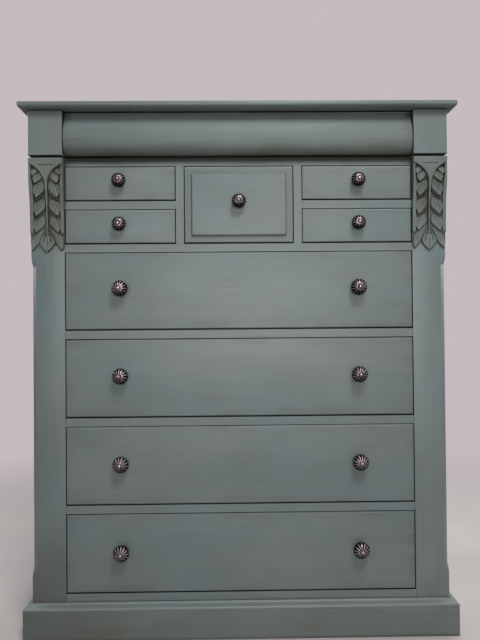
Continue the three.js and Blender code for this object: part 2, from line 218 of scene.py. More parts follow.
def paint_colour(g, grain, wash=0.35, glaze=0.85, ao_dist=0.010, cavity_and_shade=None, edges=False, field=False, umber=UMBER, tint=None):
    """Brushed, antiqued furniture paint: returns colour, streak height, mid noise, the mask of glaze and painted shade,
    and the occlusion.
    """
    big = g.noise(g.mapping(scale=along(grain, 2.2, 4.6)), 1.0, 3.0, 0.55)
    mid = g.noise(g.mapping(scale=along(grain, 8.0, 24.0), loc=(3.1, 1.7, 0.4)), 1.0, 4.0, 0.6)
    streak = g.noise(g.mapping(scale=along(grain, 5.0, 240.0), loc=(0.3, 0.9, 0.2)), 1.0, 5.0, 0.65)
    fine = g.noise(g.mapping(scale=along(grain, 16.0, 900.0)), 1.0, 3.0, 0.6)
    col = g.mix(g.remap(big, 0.34, 0.66), SAGE_COOL, SAGE_WARM)
    col = g.mix(g.remap(mid, 0.35, 0.65, 0.15, 0.65), col, SAGE_A)
    if tint is not None:
        col = g.mix(0.30, col, tint)
    # thin brown wash left between the brush marks
    w = g.math("MULTIPLY", g.remap(mid, 0.44, 0.70), g.remap(streak, 0.36, 0.66))
    col = g.mix(g.math("MULTIPLY", w, wash), col, WASH)
    # streaks, lighter and darker
    col = g.mix(g.remap(streak, 0.30, 0.72, 0.0, 0.14), col, (0.118, 0.134, 0.126))
    col = g.mix(g.remap(fine, 0.50, 0.78, 0.0, 0.10), col, (0.330, 0.372, 0.362))
    # soft clouds where the coat was rubbed thinner or thicker
    cloud = g.noise(g.mapping(scale=along(grain, 6.5, 11.0), loc=(7.7, 2.9, 5.3)), 1.0, 2.0, 0.5)
    col = g.mix(g.remap(cloud, 0.50, 0.72, 0.0, 0.16), col, (0.112, 0.128, 0.118))
    col = g.mix(g.remap(cloud, 0.50, 0.30, 0.0, 0.13), col, (0.250, 0.292, 0.292))
    # umber glaze lying in every recess, found by ambient occlusion: the real glaze, and painted shade where recesses
    # and overhangs are shaded
    occ = g.ao(ao_dist)
    patchy = g.remap(mid, 0.30, 0.70, 0.70, 1.30, smooth=False)
    glaze_and_shade = g.math("MULTIPLY", g.remap(occ, 0.97, 0.42), patchy, clamp=True)
    if cavity_and_shade is not None:
        glaze_and_shade = g.math("MAXIMUM", glaze_and_shade, g.math("MULTIPLY", g.attr(cavity_and_shade), patchy, clamp=True), clamp=True)
    if edges:
        # wiped-back glaze that stays along the arrises and in the corners of the board
        d = []
        for name in ("near", "far"):
            n = g.t.nodes.new("ShaderNodeAttribute")
            n.attribute_name = name
            sp = g.t.nodes.new("ShaderNodeSeparateXYZ")
            g.t.links.new(n.outputs["Vector"], sp.inputs[0])
            d += [sp.outputs[0], sp.outputs[2]]
        dx = g.math("MINIMUM", d[0], d[2])
        dz = g.math("MINIMUM", d[1], d[3])
        dmin = g.math("MINIMUM", dx, dz)
        line = g.math("MULTIPLY", g.remap(dmin, 0.0052, 0.0004), g.remap(mid, 0.30, 0.66, 0.12, 0.50))
        halo = g.math("MULTIPLY", g.remap(dmin, 0.030, 0.001), g.remap(mid, 0.38, 0.70, 0.02, 0.22))
        corner = g.math("MULTIPLY", g.remap(g.math("ADD", dx, dz), 0.075, 0.004), 0.16)
        edge = g.math("MAXIMUM", line, g.math("MAXIMUM", halo, corner))
        if field:
            off = g.math("ABSOLUTE", g.math("SUBTRACT", dmin, 0.0175))
            edge = g.math("MAXIMUM", edge, g.math("MULTIPLY", g.remap(off, 0.006, 0.0008), g.remap(mid, 0.30, 0.60, 0.10, 0.38)))
            edge = g.math("MAXIMUM", edge, g.remap(dmin, 0.0185, 0.0170, 0.0, 0.17))
        glaze_and_shade = g.math("MAXIMUM", glaze_and_shade, edge, clamp=True)
    col = g.mix(g.math("MULTIPLY", glaze_and_shade, glaze), col, umber)
    # painted shade: near black where occlusion is deep, in the gaps and tight corners
    col = g.mix(g.remap(occ, 0.58, 0.25), col, SHADE_BLACK)
    if edges:
        # painted highlight: the upper arris is lightened in places, as where it catches the light
        arris_highlight = g.math("MULTIPLY", g.remap(d[3], 0.0010, 0.0020), g.remap(d[3], 0.0048, 0.0032))
        col = g.mix(g.math("MULTIPLY", arris_highlight, g.remap(cloud, 0.40, 0.62, 0.08, 0.42)), col, (0.330, 0.372, 0.362))
        # painted shade: the lower arris, and a little of the right one, are painted near black where they turn into the
        # shaded gap
        # worn only makes the painted shade patchy
        worn = g.remap(mid, 0.30, 0.60, 0.70, 1.0)
        low = g.math("SUBTRACT", d[1], g.math("MULTIPLY", g.math("GREATER_THAN", g.xyz()[2], 0.45), 0.0007))
        col = g.mix(g.math("MULTIPLY", g.remap(low, 0.0019, 0.0009), worn), col, SHADE_BLACK)
        col = g.mix(g.math("MULTIPLY", g.remap(d[2], 0.0015, 0.0006, 0.0, 0.7), worn), col, SHADE_BLACK)
        # the second and fourth long drawers hang a little low, so the gap over them is wider: painted shade, near black
        # along their upper arris
        for top, amount in ((0.7362, 0.9), (0.3023, 0.6)):
            gap_shade_here = g.remap(g.math("ABSOLUTE", g.math("SUBTRACT", g.xyz()[2], top)), 0.008, 0.006, 0.0, amount)
            col = g.mix(g.math("MULTIPLY", g.remap(d[3], 0.0019, 0.0009), gap_shade_here), col, SHADE_BLACK)
    height = g.math("ADD", g.math("MULTIPLY", streak, 0.7), g.math("MULTIPLY", fine, 0.3))
    return col, height, mid, glaze_and_shade, occ


def wood_colour(g, grain, light=PINE_L, mid_c=PINE_M, dark=PINE_D, scale=1.0, offset=0.0):
    warp = g.noise(g.mapping(scale=along(grain, 1.3 * scale, 6.0 * scale), loc=(offset, offset * 0.7, 0)), 1.0, 2.0, 0.5)
    n = g.t.nodes.new("ShaderNodeTexNoise")
    vec = g.mapping(scale=along(grain, 2.2 * scale, 34.0 * scale), loc=(offset * 1.3, 0.2, offset))
    g.t.links.new(vec, n.inputs["Vector"])
    n.inputs["Scale"].default_value = 1.0
    n.inputs["Detail"].default_value = 2.0
    n.inputs["Distortion"].default_value = 0.6
    rings = g.math("FRACT", g.math("MULTIPLY", g.math("ADD", n.outputs["Fac"], g.math("MULTIPLY", warp, 0.6)), 9.0))
    ring = g.remap(g.math("ABSOLUTE", g.math("SUBTRACT", rings, 0.62)), 0.0, 0.42)
    fibre = g.noise(g.mapping(scale=along(grain, 14.0, 1100.0)), 1.0, 4.0, 0.7)
    col = g.mix(ring, dark, mid_c)
    col = g.mix(g.remap(warp, 0.35, 0.68, 0.15, 0.75), col, light)
    col = g.mix(g.remap(fibre, 0.42, 0.72, 0.0, 0.32), col, dark)
    return col, fibre


def paint_material(name, grain="X", shade=None, wash=0.35, glaze=0.85, ao_dist=0.010, cavity_and_shade=None, rough=0.40, over=None, wood_grain=None, edges=False, field=False, umber=UMBER, shade_tone=UMBER, spec=0.45, tint=None):
    """over = (axis, a, b): painted where the coordinate is beyond a, bare wood past b."""
    g = Graph(name)
    col, height, mid, glaze_and_shade, occ = paint_colour(g, grain, wash, glaze, ao_dist, cavity_and_shade, edges, field, umber, tint)
    if shade is not None:
        # painted shade, darker towards one edge: (axis, clean, shaded, amount)
        axis, a, b, amount = shade
        v = g.math("ADD", g.xyz()[AXIS[axis]], g.math("MULTIPLY", g.math("SUBTRACT", mid, 0.5), 0.35 * (b - a)))
        col = g.mix(g.remap(v, a, b, 0.0, amount), col, shade_tone)
    rgh = g.math("ADD", g.remap(height, 0.30, 0.70, rough - 0.05, rough + 0.09, smooth=False),
                 g.math("MULTIPLY", glaze_and_shade, 0.25))
    bump_h = height
    if over is not None:
        axis, a, b = over
        wcol, fibre = wood_colour(g, wood_grain or grain, scale=1.0)
        v = g.xyz()[AXIS[axis]]
        ragged = g.noise(g.mapping(scale=(90, 90, 90)), 1.0, 3.0, 0.6)
        v = g.math("ADD", v, g.math("MULTIPLY", g.math("SUBTRACT", ragged, 0.5), 0.006 if b > a else -0.006))
        bare = g.remap(v, a, b)
        col = g.mix(bare, col, wcol)
        # painted shade: the narrow gaps are painted near black where occlusion is deep
        col = g.mix(g.remap(occ, 0.50, 0.24), col, SHADE_BLACK)
        rgh = g.math("ADD", rgh, g.math("MULTIPLY", bare, 0.3), clamp=True)
        bump_h = g.math("ADD", g.math("MULTIPLY", height, g.math("SUBTRACT", 1.0, bare)), g.math("MULTIPLY", fibre, bare))
    g.set(Base_Color=col, Roughness=rgh)
    g.set(Specular_IOR_Level=spec)
    wavy = g.bump(mid, 0.10, 0.0012)
    nrm = g.bump(bump_h, 0.22, 0.00022, wavy)
    g.set(Normal=nrm)
    return g.m


def wood_material(name, grain, light=PINE_L, mid_c=PINE_M, dark=PINE_D, scale=1.0, offset=0.0, rough=0.62, occlusion_shade=0.5):
    g = Graph(name)
    col, fibre = wood_colour(g, grain, light, mid_c, dark, scale, offset)
    occ = g.ao(0.02)
    blot = g.noise(g.mapping(scale=(7, 7, 7), loc=(offset, 1, 2)), 1.0, 3.0, 0.6)
    col = g.mix(g.remap(blot, 0.45, 0.75, 0.0, 0.28), col, (0.20, 0.12, 0.06))
    # painted shade: darker brown where occlusion is high, in corners and where boards meet
    col = g.mix(g.remap(occ, 0.95, 0.45, 0.0, occlusion_shade), col, (0.055, 0.035, 0.02))
    g.set(Base_Color=col, Roughness=g.remap(fibre, 0.3, 0.7, rough - 0.08, rough + 0.1, smooth=False))
    g.set(Specular_IOR_Level=0.3)
    g.set(Normal=g.bump(fibre, 0.3, 0.0003))
    return g.m


def knob_material(name):
    """Antique pewter: near black in the flutes and behind, rubbed bright and a little rosy on the ridges; the lower
    half is painted darker as shade.
    """
    g = Graph(name)
    groove_and_shade = g.attr("groove_and_shade")
    speck = g.noise(g.mapping(scale=(420, 420, 420)), 1.0, 4.0, 0.65)
    cloud = g.noise(g.mapping(scale=(110, 110, 110), loc=(2, 5, 1)), 1.0, 3.0, 0.6)
    ridge = g.mix(g.remap(cloud, 0.35, 0.68), (0.31, 0.246, 0.256), (0.60, 0.515, 0.528))
    dark = g.mix(g.remap(speck, 0.40, 0.70), (0.007, 0.004, 0.005), (0.026, 0.015, 0.017))
    depth = g.math("ADD", groove_and_shade, g.math("MULTIPLY", g.math("SUBTRACT", speck, 0.5), 0.45), clamp=True)
    fac = g.remap(depth, 0.20, 0.50)
    col = g.mix(fac, ridge, dark)
    g.set(Base_Color=col, Roughness=g.math("ADD", g.remap(speck, 0.3, 0.7, 0.27, 0.40, smooth=False), g.math("MULTIPLY", fac, 0.12)))
    g.set(Metallic=1.0)
    g.set(Normal=g.bump(speck, 0.25, 0.00012))
    return g.m


PAINT_X = paint_material("paint_across", "X")
PAINT_Z = paint_material("paint_upright", "Z")
PAINT_Y = paint_material("paint_side", "Z", wash=0.45)
# painted shade: a little darker towards the front edge of the top
PAINT_TOP = paint_material("paint_top", "X", wash=0.30, shade=("Y", -0.236, -0.249, 0.02))
# painted shade: the plinth is darker towards its left end
PAINT_PLINTH = paint_material("paint_plinth", "X", wash=0.85, glaze=0.9, shade=("X", -0.15, -0.48, 0.32), tint=(0.150, 0.160, 0.144))
PAINT_MOULD = paint_material("paint_moulding", "X", wash=0.30, glaze=0.55, ao_dist=0.006, tint=(0.290, 0.335, 0.335))
PAINT_CARVED = paint_material("paint_carved", "Z", wash=1.0, glaze=0.95, ao_dist=0.007, cavity_and_shade="cavity_and_shade", rough=0.38, umber=(0.042, 0.041, 0.028), tint=(0.160, 0.174, 0.142))
# painted shadow: the frieze's swell is painted as a near black shadow across the top of this rail, deepened by a long
# occlusion reach
RAIL_TOP = paint_material("frieze_rail_paint_and_bare", "X", over=("Y", -0.203, -0.199), wood_grain="X", ao_dist=0.03, shade=("Z", 1.1680, 1.1838, 0.97), shade_tone=(0.014, 0.014, 0.011), rough=0.58, spec=0.15)
RAIL = paint_material("rail_paint_and_bare", "X", over=("Y", -0.203, -0.199), wood_grain="X")
UPRIGHT = paint_material("upright_paint_and_bare", "Z", over=("Y", -0.203, -0.199), wood_grain="Y")
# lit and shaded copies of the post paint: the left post painted darker towards the floor, the right post a lighter tint
# and barely darker below
POST_L = paint_material("post_left_paint", "Z", shade=("Z", 0.34, 0.12, 0.40))
POST_R = paint_material("post_right_paint", "Z", shade=("Z", 0.18, 0.09, 0.10), tint=(0.235, 0.285, 0.285))
FRONT = paint_material("front_paint_and_bare", "X", wash=0.28, over=("Y", -0.1955, -0.1925), wood_grain="X", edges=True)
FRONT_FIELD = paint_material("front_field_paint_and_bare", "X", over=("Y", -0.1955, -0.1925), wood_grain="X", edges=True, field=True)
SIDE_L = paint_material("side_left_paint_and_bare", "Z", wash=0.45, over=("X", -0.5035, -0.5005), wood_grain="Z")
SIDE_R = paint_material("side_right_paint_and_bare", "Z", wash=0.45, over=("X", 0.5035, 0.5005), wood_grain="Z")
PINE_Y = wood_material("pine_lengthwise", "Y")
PINE_X = wood_material("pine_crosswise", "X", offset=2.3)
PINE_BOTTOM = wood_material("pine_bottom", "X", light=(0.50, 0.34, 0.19), offset=5.1, rough=0.66, occlusion_shade=0.65)
BACK_WOOD = wood_material("back_boards", "Z", light=(0.30, 0.19, 0.105), mid_c=(0.235, 0.145, 0.08), dark=(0.12, 0.07, 0.038), offset=7.7, rough=0.78, occlusion_shade=0.8)
KNOB = knob_material("antique_pewter")


# ------------------------------------------------------------------ mesh helpers
def make(name, verts, faces, mat, angle=32, attrs=None):
    me = bpy.data.meshes.new(name)
    me.from_pydata([tuple(v) for v in verts], [], [tuple(f) for f in faces])
    me.update()
    bm = bmesh.new()
    bm.from_mesh(me)
    bmesh.ops.recalc_face_normals(bm, faces=bm.faces)
    bm.to_mesh(me)
    bm.free()
    if attrs:
        for k, v in attrs.items():
            a = me.attributes.new(k, "FLOAT", "POINT")
            a.data.foreach_set("value", np.asarray(v, np.float32))
    me.shade_smooth()
    me.set_sharp_from_angle(angle=math.radians(angle))
    o = bpy.data.objects.new(name, me)
    sc.collection.objects.link(o)
    me.materials.append(mat)
    return o


def settle(o, body, slot, *nodes):
    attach(o, body)
    if nodes:
        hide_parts(*nodes)
    return o


def loft_data(rings, caps=True):
    n = len(rings[0])
    verts = [p for r in rings for p in r]
    faces = []
    for k in range(len(rings) - 1):
        for i in range(n):
            j = (i + 1) % n
            faces.append((k * n + i, k * n + j, (k + 1) * n + j, (k + 1) * n + i))
    if caps:
        faces.append(tuple(range(n - 1, -1, -1)))
        faces.append(tuple((len(rings) - 1) * n + i for i in range(n)))
    return verts, faces


def soft_box(name, x0, x1, y0, y1, z0, z1, mat, r=0.0008, seg=2, angle=32):
    """Board with softly worn arrises, in metres."""
    bm = bmesh.new()
    bmesh.ops.create_cube(bm, size=1.0)
    for v in bm.verts:
        v.co.x = x0 if v.co.x < 0 else x1
        v.co.y = y0 if v.co.y < 0 else y1
        v.co.z = z0 if v.co.z < 0 else z1
    if r > 0:
        bmesh.ops.bevel(bm, geom=bm.edges[:], offset=r, segments=seg, profile=0.5, affect="EDGES")
    me = bpy.data.meshes.new(name)
    bm.to_mesh(me)
    bm.free()
    me.shade_smooth()
    me.set_sharp_from_angle(angle=math.radians(angle))
    o = bpy.data.objects.new(name, me)
    sc.collection.objects.link(o)
    me.materials.append(mat)
    return o


def faced_board(name, x0, x1, z0, z1, steps, mat, arris=0.0, angle=32):
    """Board towards -Y whose face steps through (inset, y) rings, mm in, metres out."""
    rings = []
    for s, y in steps:
        rings.append([((x0 + s) * MM, y * MM, (z0 + s) * MM), ((x1 - s) * MM, y * MM, (z0 + s) * MM),
                      ((x1 - s) * MM, y * MM, (z1 - s) * MM), ((x0 + s) * MM, y * MM, (z1 - s) * MM)])
    v, f = loft_data(rings)
    return make(name, v, f, mat, angle)


def edge_attributes(o, x0, x1, z0, z1):
    """Distances (m) from each border of a board's face, kept on its points."""
    me = o.data
    co = np.empty(len(me.vertices) * 3, np.float32)
    me.vertices.foreach_get("co", co)
    co = co.reshape(-1, 3)
    for name, ax, az, sg in (("near", x0, z0, 1), ("far", x1, z1, -1)):
        v = np.zeros_like(co)
        v[:, 0] = sg * (co[:, 0] - ax * MM)
        v[:, 2] = sg * (co[:, 2] - az * MM)
        a = me.attributes.new(name, "FLOAT_VECTOR", "POINT")
        a.data.foreach_set("vector", v.ravel())


def arc(cx, cy, r, a0, a1, n):
    return [(cx + r * math.cos(math.radians(a0 + (a1 - a0) * i / n)), cy + r * math.sin(math.radians(a0 + (a1 - a0) * i / n))) for i in range(n + 1)]


def smooth_curve(points, n):
    """Catmull-Rom through points, n steps a span."""
    p = [np.array(q, float) for q in points]
    p = [2 * p[0] - p[1]] + p + [2 * p[-1] - p[-2]]
    out = []
    for i in range(1, len(p) - 2):
        for k in range(n):
            t = k / n
            a, b, c, d = p[i - 1], p[i], p[i + 1], p[i + 2]
            out.append(0.5 * ((2 * b) + (c - a) * t + (2 * a - 5 * b + 4 * c - d) * t * t + (3 * b - 3 * c + d - a) * t ** 3))
    out.append(p[-2])
    return [tuple(q) for q in out]


def difference(o, tool):
    mod = o.modifiers.new("cut", "BOOLEAN")
    mod.operation = "DIFFERENCE"
    mod.solver = "EXACT"
    mod.object = tool
    dg = bpy.context.evaluated_depsgraph_get()
    me = bpy.data.meshes.new_from_object(o.evaluated_get(dg))
    o.modifiers.clear()
    old = o.data
    name = old.name
    o.data = me
    bpy.data.meshes.remove(old)
    me.name = name
    bpy.data.objects.remove(tool)


# ------------------------------------------------------------------ carcass pieces kept from the CAD, softened at the arrises
def dress(node, mat, width=0.9, seg=2):
    o = NODES[node]
    o.data.materials.clear()
    o.data.materials.append(mat)
    b = o.modifiers.new("worn_arris", "BEVEL")
    b.width = width * MM
    b.segments = seg
    b.limit_method = "ANGLE"
    b.angle_limit = math.radians(40)
    b.use_clamp_overlap = True


for n in ("bottom_rail", "long_rail_3", "long_rail_2", "long_rail_1", "middle_rail", "small_rail_left", "small_rail_right"):
    dress(n, RAIL, 0.9)
dress("frieze_rail", RAIL_TOP, 0.9)
for n in ("upright_left", "upright_right"):
    dress(n, UPRIGHT, 0.8)
dress("side_panel_left", SIDE_L, 1.0)
dress("side_panel_right", SIDE_R, 1.0)
for n in ("corner_block_left", "corner_block_right"):
    dress(n, PAINT_Z, 1.1)
for n in ("plinth_front",):
    dress(n, PAINT_PLINTH, 1.2)
PAINT_PLINTH_SIDE = PAINT_PLINTH
for n in ("plinth_left", "plinth_right"):
    dress(n, PAINT_PLINTH_SIDE, 1.2)
dress("plinth_back", BACK_WOOD, 1.0)

# ------------------------------------------------------------------ posts with stopped chamfers
BODY, POST_IN = 518.5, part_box("post_right")[0].x / MM
for side, word in ((-1, "left"), (1, "right")):
    rows = [(0.0, 0.9)]
    stops = []
    for k in range(25):
        t = k / 24
        # lamb's tongue: a short convex roll, then a long hollow
        s = (0.5 - 0.5 * math.cos(math.pi * min(1, t / 0.9))) ** 0.85
        stops.append((t, 0.9 + (12.0 - 0.9) * s))
    for t, c in stops:
        rows.append((150 + 27 * t, c))
    for t, c in reversed(stops):
        rows.append((941 - 27 * t, c))
    rows.append((1302.7, 0.9))
    rings = []
    xo, xi = side * BODY, side * POST_IN
    for z, c in rows:
        ring = [(xo, -150), (xo, -210 + c + 0.5), (xo - side * 0.18, -210 + c - 0.1),
                (xo - side * (c - 0.1), -210 + 0.18), (xo - side * (c + 0.5), -210),
                (xi + side * 0.9, -210), (xi + side * 0.26, -209.74), (xi, -209.1), (xi, -150)]
        rings.append([(x * MM, y * MM, z * MM) for x, y in ring])
    v, f = loft_data(rings)
    o = make("post_" + word + "_shaped", v, f, POST_L if word == "left" else POST_R, angle=28)
    settle(o, "carcass", "paint", "post_" + word)

# ------------------------------------------------------------------ top board with a moulded edge
prof = smooth_curve([(15, 1303), (11.0, 1303.15), (7.2, 1303.5), (4.4, 1304.2), (2.3, 1305.2), (0.9, 1306.5), (0.2, 1308), (0, 1309.6), (0, 1313.2),
                     (0.3, 1315.0), (1.0, 1316.2), (2.3, 1316.9), (4.5, 1317)], 3)
TW, TF, TB = 538.5, -250.0, 250.0
rings = []
for s, z in prof:
    rc = 3.0  # small radius at the two front corners
    ring = [((TW - s), TB), (-(TW - s), TB)]
    for a in range(0, 5):
        th = math.radians(180 + 90 * a / 4)
        ring.append((-(TW - s) + rc + rc * math.cos(th), TF + s + rc + rc * math.sin(th)))
    for a in range(0, 5):
        th = math.radians(270 + 90 * a / 4)
        ring.append(((TW - s) - rc + rc * math.cos(th), TF + s + rc + rc * math.sin(th)))
    rings.append([(x * MM, y * MM, z * MM) for x, y in ring])
v, f = loft_data(rings)
settle(make("top_board_moulded", v, f, PAINT_TOP, angle=30), "carcass", "paint", "top_board")

# ------------------------------------------------------------------ plinth moulding, mitred
out = 17.8
pm = [(0.3, 73.0), (out, 73.0)] + smooth_curve([(out, 73.4), (out + 0.0, 75.2), (out - 0.6, 76.8), (out - 2.2, 78.5), (out - 4.8, 79.8), (out - 8.0, 80.7),
     (out - 11.2, 81.8), (out - 13.6, 83.4), (out - 15.0, 85.2), (out - 15.5, 86.4)], 4) + [(out - 15.6, 86.7), (0.3, 86.7)]
rings = [[((-BODY - u) * MM, 250 * MM, z * MM) for u, z in pm],
         [((-BODY - u) * MM, (-210 - u) * MM, z * MM) for u, z in pm],
         [((BODY + u) * MM, (-210 - u) * MM, z * MM) for u, z in pm],
         [((BODY + u) * MM, 250 * MM, z * MM) for u, z in pm]]
v, f = loft_data(rings)
settle(make("plinth_moulding_ogee", v, f, PAINT_MOULD, angle=40), "carcass", "paint", "plinth_moulding")

# ------------------------------------------------------------------ back boards
n_boards = 7
x0, x1 = -498.2, 498.2
w = (x1 - x0) / n_boards
verts, faces = [], []
for k in range(n_boards):
    a, b = x0 + k * w + 0.3, x0 + (k + 1) * w - 0.3
    c = 1.6
    sec = [(a, 234), (b, 234), (b, 246 - c), (b - c, 246), (a + c, 246), (a, 246 - c)]
    rr = [[(x * MM, y * MM, z * MM) for x, y in sec] for z in (87, 1302.7)]
    vv, ff = loft_data(rr)
    base = len(verts)
    verts += vv
    faces += [tuple(i + base for i in q) for q in ff]
settle(make("back_panel_boards", verts, faces, BACK_WOOD), "carcass", "back_wood", "back_panel")


# ------------------------------------------------------------------ carved corbels
def soft_max(a, b):
    return np.maximum(a, b)


def inside_distance(U, T, poly):
    """Distance to a closed outline, positive inside."""
    n = len(poly)
    best = np.full(U.shape, 1e9)
    odd = np.zeros(U.shape, bool)
    for i in range(n):
        x0, y0 = poly[i]
        x1, y1 = poly[(i + 1) % n]
        dx, dy = x1 - x0, y1 - y0
        k = np.clip(((U - x0) * dx + (T - y0) * dy) / max(dx * dx + dy * dy, 1e-9), 0, 1)
        best = np.minimum(best, np.hypot(U - x0 - k * dx, T - y0 - k * dy))
        if y1 != y0:
            cross = ((y0 > T) != (y1 > T)) & (U < (x1 - x0) * (T - y0) / (y1 - y0) + x0)
            odd ^= cross
    return np.where(odd, best, -best)


HALF = (BODY - POST_IN) / 2 - 0.2


def corbel_height():
    """Height of the carved face in front of the post, on a grid: u across from the middle, t down from the top (mm)."""
    step = 0.55
    nu = int(2 * HALF / step) | 1
    us = np.linspace(-HALF, HALF, nu)
    ts = np.linspace(0, 234.2, int(234.2 / step) + 1)
    U, T = np.meshgrid(us, ts)
    A = np.abs(U)
    # envelope: the blank's side profile
    kt = np.array([0, 52, 62, 74, 86, 100, 120, 142, 160, 182, 205, 234.5])
    kp = np.array([19, 19, 18.4, 16.4, 13.8, 12.0, 10.2, 8.8, 8.0, 7.2, 6.8, 6.4])
    col = np.interp(ts, kt, kp)
    pad = np.concatenate([np.full(20, col[0]), col, np.full(20, col[-1])])
    col = np.convolve(pad, np.ones(41) / 41, "valid")
    env = np.repeat(col[:, None], len(us), 1)
    depth = np.interp(T, [0, 60, 110, 160, 200, 234], [8.2, 8.2, 7.0, 6.2, 5.6, 5.4])     # how deep the ground is cut
    rel = -depth.copy()

    # flat margins at the sides, a little below the face
    inner = np.interp(T, [0, 46, 62, 95, 186, 200], [36.6, 36.0, 33.4, 32.6, 32.6, 36.0])
    margin = np.clip((A - inner) / 1.1, 0, 1)
    margin = margin * np.clip((T - 14) / 3, 0, 1) * np.clip((188 - T) / 5, 0, 1)
    rel = np.maximum(rel, -depth + (depth - 1.3) * margin ** 0.6)

    def leaf(poly, B, E, h_base, h_tip, flute=1.0, width=11.0, roll=3.4, drop=2.8):
        """One leaf of the garland, on the +u side: outline, then base and tip of its midrib."""
        nonlocal rel
        d = inside_distance(A, T, poly)
        B = np.array(B, float); E = np.array(E, float)
        L = np.hypot(*(E - B))
        ax = (E - B) / L
        s = np.clip(((A - B[0]) * ax[0] + (T - B[1]) * ax[1]) / L, 0, 1)
        q = -(A - B[0]) * ax[1] + (T - B[1]) * ax[0]
        q = q + 2.6 * 4 * s * (1 - s)
        W = width * np.sqrt(np.clip(s * 0.9 + 0.12, 0, 1) * np.clip(1.03 - s, 0.02, 1)) * 1.55
        x = q / np.maximum(W, 2.2)
        hh = h_base + (h_tip - h_base) * s ** 0.95
        hh = hh - drop * (1 - np.sqrt(np.clip(1 - (1 - np.clip(d / roll, 0, 1)) ** 2, 0, 1)))
        # a long gouge down the leaf beside its rib, and a finer one above it
        run = np.clip((0.96 - s) / 0.25, 0, 1) * np.clip((s - 0.02) / 0.25, 0, 1)
        hh = hh - flute * 1.15 * np.exp(-((x + 0.30) / 0.20) ** 2) * run
        hh = hh - flute * 0.80 * np.exp(-((x - 0.38) / 0.15) ** 2) * run
        # one side of the leaf turns away
        hh = hh - 1.6 * np.clip(-x - 0.1, 0, 1) - 0.8 * np.clip(x - 0.5, 0, 1)
        rel = np.where(d > 0, np.maximum(rel, hh), rel)

    def hanging(xt, tt, k=1.0, kx=1.0, **kw):
        x_in = 2.1
        low = [(xt, tt), (xt - 3.4 * kx, tt - 1.2 * k), (xt - 7.8 * kx, tt - 4.4 * k), (xt - 14.0 * kx, tt - 10.6 * k), (xt - 20.3 * kx, tt - 17.6 * k), (max(x_in, xt - 24.6 * kx), tt - 23.6 * k)]
        P = low + [(max(x_in, xt - 25.0 * kx), tt - 35.0 * k), (xt - 20.3 * kx, tt - 40.5 * k), (xt - 12.5 * kx, tt - 42.5 * k), (xt - 4.5 * kx, tt - 39.0 * k),
                   (xt + 5.0 * kx, tt - 32.5 * k), (xt + 8.0 * kx, tt - 24.0 * k), (xt + 7.0 * kx, tt - 15.0 * k), (xt + 2.3 * kx, tt - 6.0 * k)]
        leaf(P, (xt - 14.5 * kx, tt - 38.0 * k), (xt - 0.3, tt - 0.6), width=11.6 * kx, **kw)
        return low

    def tucked_rim(low, drop_t, peak):
        """Rolled upper rim of the leaf that comes out from under another one."""
        nonlocal rel
        pts = [(x + 2.2, t + drop_t) for x, t in low[1:]]
        d = np.full(rel.shape, 1e9)
        for (xa, ta), (xb, tb) in zip(pts, pts[1:]):
            dx, dt = xb - xa, tb - ta
            kk = np.clip(((A - xa) * dx + (T - ta) * dt) / (dx * dx + dt * dt), 0, 1)
            d = np.minimum(d, np.hypot(A - xa - kk * dx, T - ta - kk * dt))
        rel = np.maximum(rel, -depth + (depth + peak) * np.exp(-(d / 1.25) ** 4))
        d2 = np.full(rel.shape, 1e9)
        for (xa, ta), (xb, tb) in zip(pts, pts[1:]):
            dx, dt = xb - xa, tb - ta
            kk = np.clip(((A - xa) * dx + (T - ta - 3.0) * dt) / (dx * dx + dt * dt), 0, 1)
            d2 = np.minimum(d2, np.hypot(A - xa - kk * dx, T - ta - 3.0 - kk * dt))
        rel = rel - 1.3 * np.exp(-(d2 / 0.9) ** 2)

    # side leaves of the foot
    leaf([(4.5, 170), (12, 173), (22, 179.5), (31, 187.5), (36.5, 195.5), (39.6, 205), (40.2, 214), (39.6, 221), (37.4, 227.4), (33.0, 223.0), (28.0, 217.5), (23.0, 211.5),
          (19.6, 206.0), (16.0, 197), (10.0, 184)], (14, 176), (37.2, 226.2), -3.8, -0.2, flute=0.95, width=9.5)
    hanging(28.6, 183.0, h_base=-3.8, h_tip=0.3, flute=1.25)
    low = hanging(27.4, 142.0, h_base=-4.3, h_tip=0.5, flute=1.35)
    tucked_rim(low, 5.6, -2.0)
    low = hanging(27.2, 97.4, k=0.94, h_base=-4.9, h_tip=0.5, flute=1.40)
    tucked_rim(low, 5.4, -2.4)
    low = hanging(27.4, 62.4, k=0.66, kx=0.80, h_base=-5.4, h_tip=0.2, flute=1.1, drop=2.4)
    hanging(33.6, 43.6, k=0.50, kx=0.58, h_base=-5.6, h_tip=-0.2, flute=0.8, drop=2.2)

